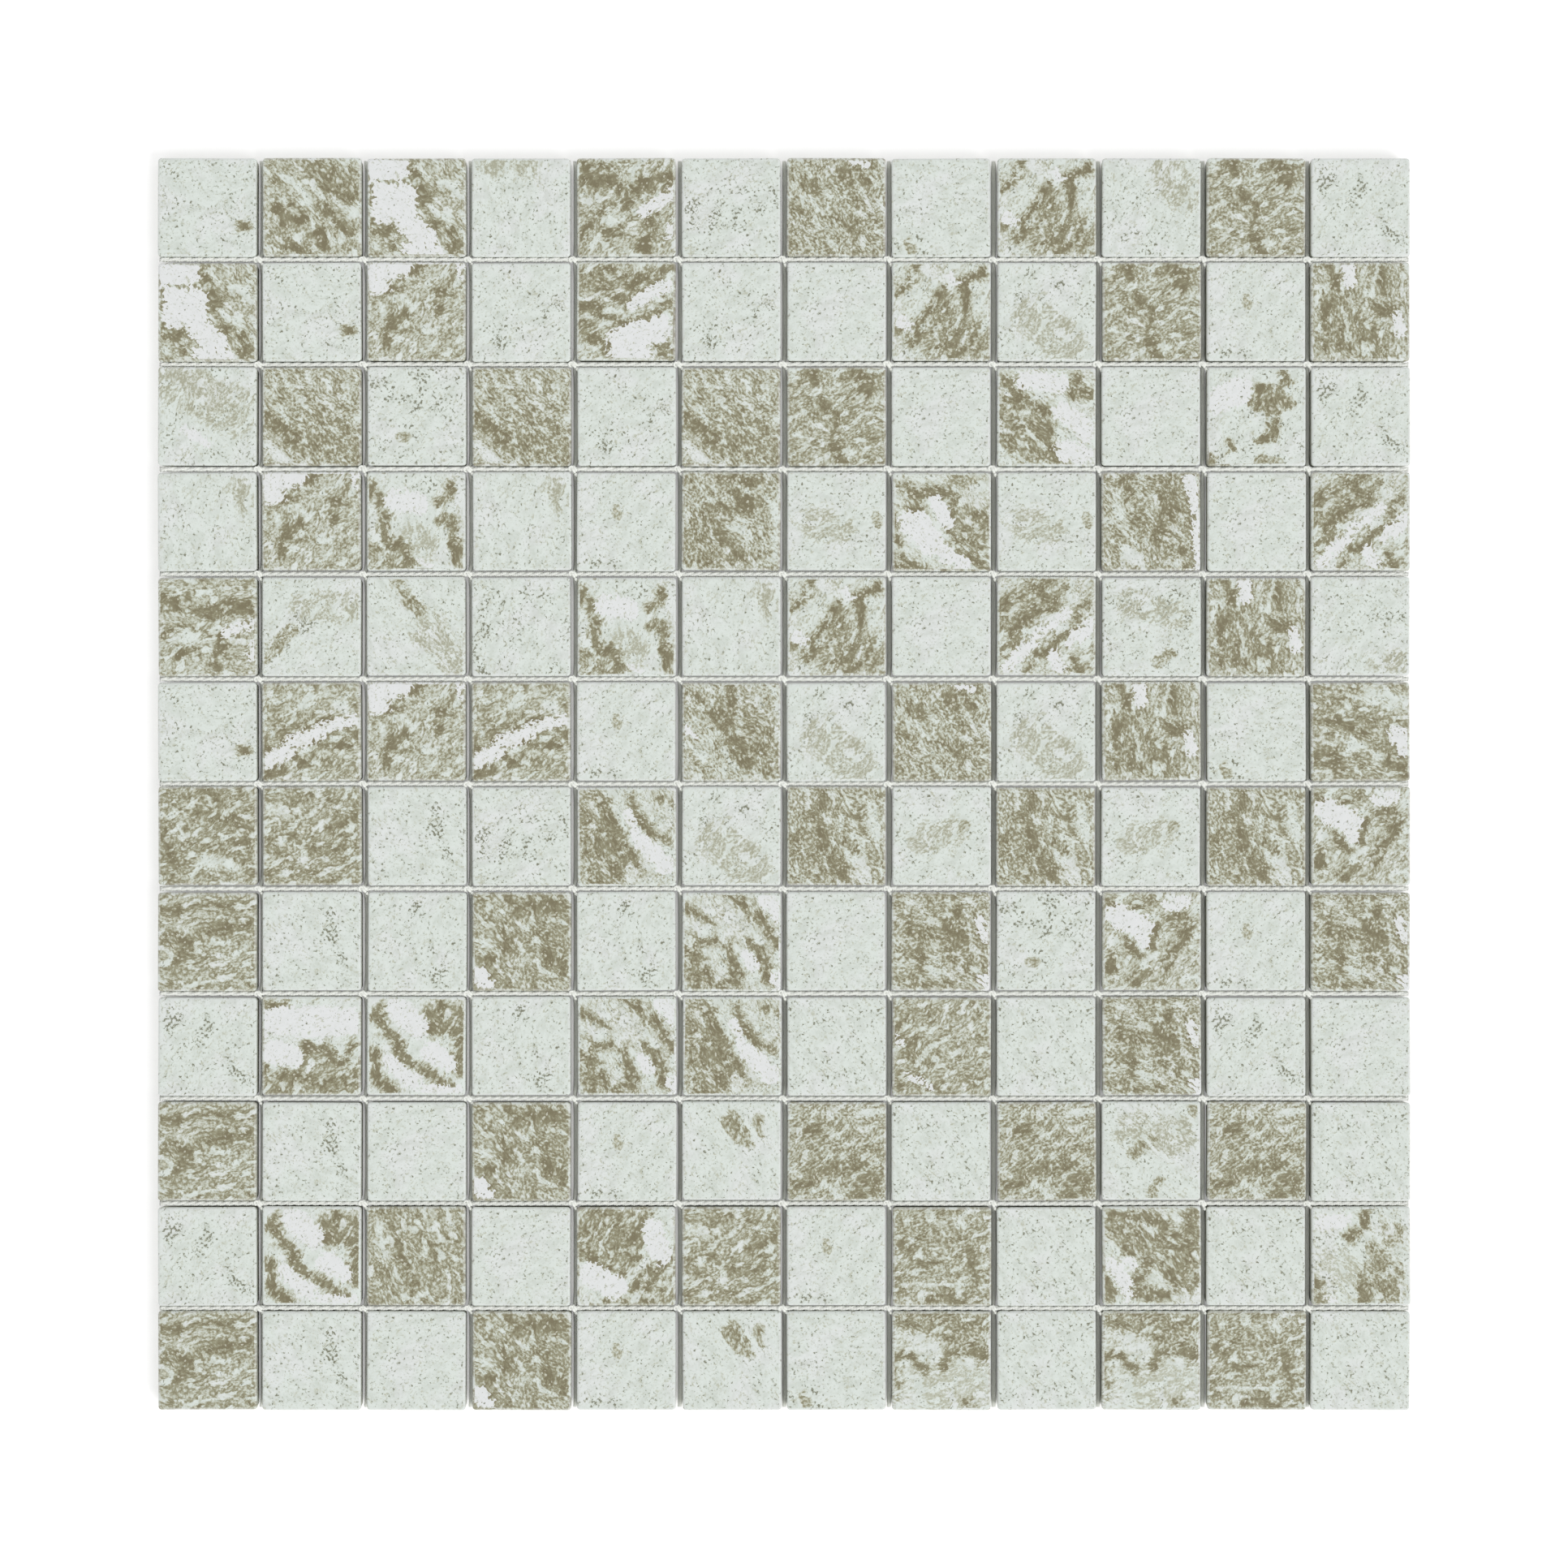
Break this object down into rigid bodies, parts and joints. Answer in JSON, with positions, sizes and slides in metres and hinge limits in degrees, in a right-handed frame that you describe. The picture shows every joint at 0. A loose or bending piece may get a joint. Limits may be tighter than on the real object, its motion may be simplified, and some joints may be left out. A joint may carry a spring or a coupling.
{
  "type": "mosaic tile sheet",
  "caption": "Square sheet of small stone-look mosaic tiles laid in straight rows and held together by a knotted white cord net in their joints, ready to bed on a wall or floor.",
  "frame": {"origin": "centre of the sheet on the plane of the tiles' backs", "axes": "+Z out of the printed face, +X along the rows, +Y up the columns"},
  "size_m": [0.3166, 0.3166, 0.005],
  "materials": {
    "tile": "satin, printed stone look",
    "net_cord": "matte twisted cord"
  },
  "bodies": {
    "root": {"tile_row_01": "tile", "tile_row_02": "tile", "tile_row_03": "tile", "tile_row_04": "tile", "tile_row_05": "tile", "tile_row_06": "tile", "tile_row_07": "tile", "tile_row_08": "tile", "tile_row_09": "tile", "tile_row_10": "tile", "tile_row_11": "tile", "tile_row_12": "tile", "cord_net": "net_cord"}
  },
  "joints": []
}
